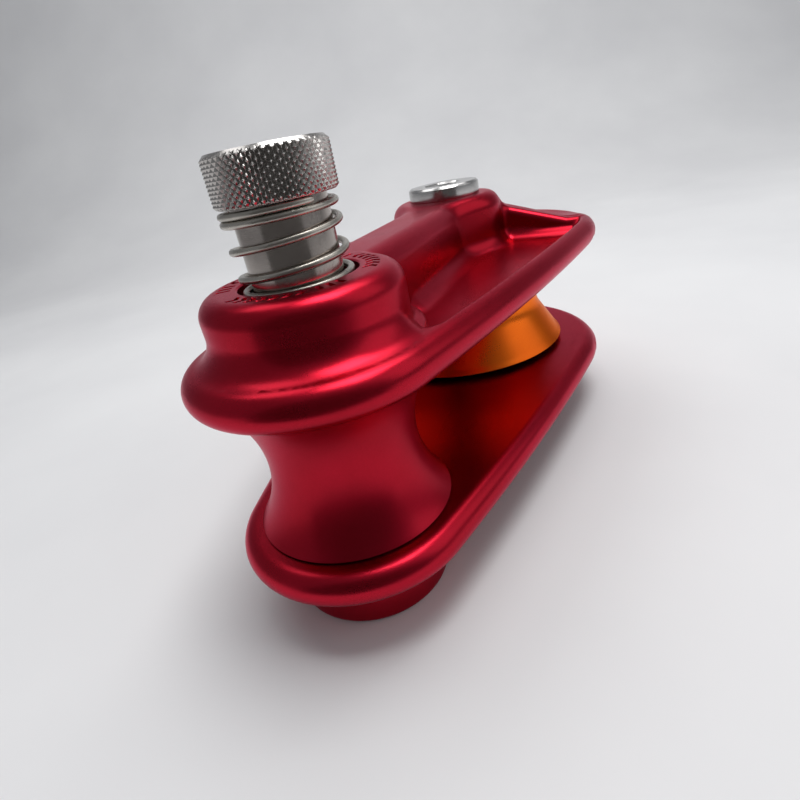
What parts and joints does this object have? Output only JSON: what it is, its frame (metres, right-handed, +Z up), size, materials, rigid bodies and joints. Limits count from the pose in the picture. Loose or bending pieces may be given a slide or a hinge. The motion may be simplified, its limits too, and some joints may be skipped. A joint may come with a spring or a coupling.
{
  "type": "rigging block",
  "caption": "Arborist rigging block: cheek plates hold a waisted rope sheave and a sling spool, with a spring-loaded push-and-turn lock pin that frees the swinging cheek.",
  "frame": {"origin": "on the surface that the block stands on, under the middle of its overall box", "axes": "+Y from the lock pin to the axle, +Z up along the pin and the axle, +X across the cheeks"},
  "size_m": [0.096, 0.1714, 0.0979],
  "materials": {
    "red_anodised": "satin crimson anodised aluminium with fine turning and milling marks",
    "orange_anodised": "satin orange anodised aluminium",
    "stainless": "bright turned stainless steel",
    "polished_steel": "polished steel",
    "spring_steel": "drawn stainless spring wire",
    "hardened_steel": "dark hardened steel",
    "bronze": "oiled bearing bronze"
  },
  "bodies": {
    "frame": {"top_plate": "red_anodised", "sling_spool": "red_anodised", "spool_dowels": "hardened_steel", "pin_bush": "bronze", "axle_bolt": "polished_steel", "axle_sleeve": "hardened_steel", "axle_washer": "stainless", "axle_nut": "stainless", "upper_thrust_washer": "bronze", "lower_thrust_washer": "bronze", "lock_spring": "spring_steel"},
    "sheave_wheel": {"sheave": "orange_anodised", "sheave_bush": "bronze"},
    "swing_cheek": {"swing_plate": "red_anodised", "swing_bush": "bronze", "lock_bush": "stainless", "lock_bush_ring": "hardened_steel"},
    "pin_carrier": {"spring_seat": "stainless"},
    "pin_and_knob": {"lock_pin": "stainless", "lock_cross_pin": "hardened_steel", "pin_knob": "stainless", "knob_grub_screw": "hardened_steel"}
  },
  "joints": [
    {"name": "swing_open", "type": "hinge", "parent": "frame", "child": "swing_cheek", "pos_m": [0, 0.03775, 0.018], "axis": [0, 0, 1], "continuous": true},
    {"name": "sheave_spin", "type": "hinge", "parent": "frame", "child": "sheave_wheel", "pos_m": [0, 0.03775, 0.038], "axis": [0, 0, 1], "continuous": true},
    {"name": "pin_push", "type": "slide", "parent": "frame", "child": "pin_carrier", "axis": [0, 0, 1], "range_m": [-0.008, 0], "stiffness_N_per_m": 1500, "springref_m": 0.004, "deforming": ["lock_spring"]},
    {"name": "knob_turn", "type": "hinge", "parent": "pin_carrier", "child": "pin_and_knob", "pos_m": [0, -0.05775, 0.09], "axis": [0, 0, -1], "range_deg": [0, 90]}
  ]
}
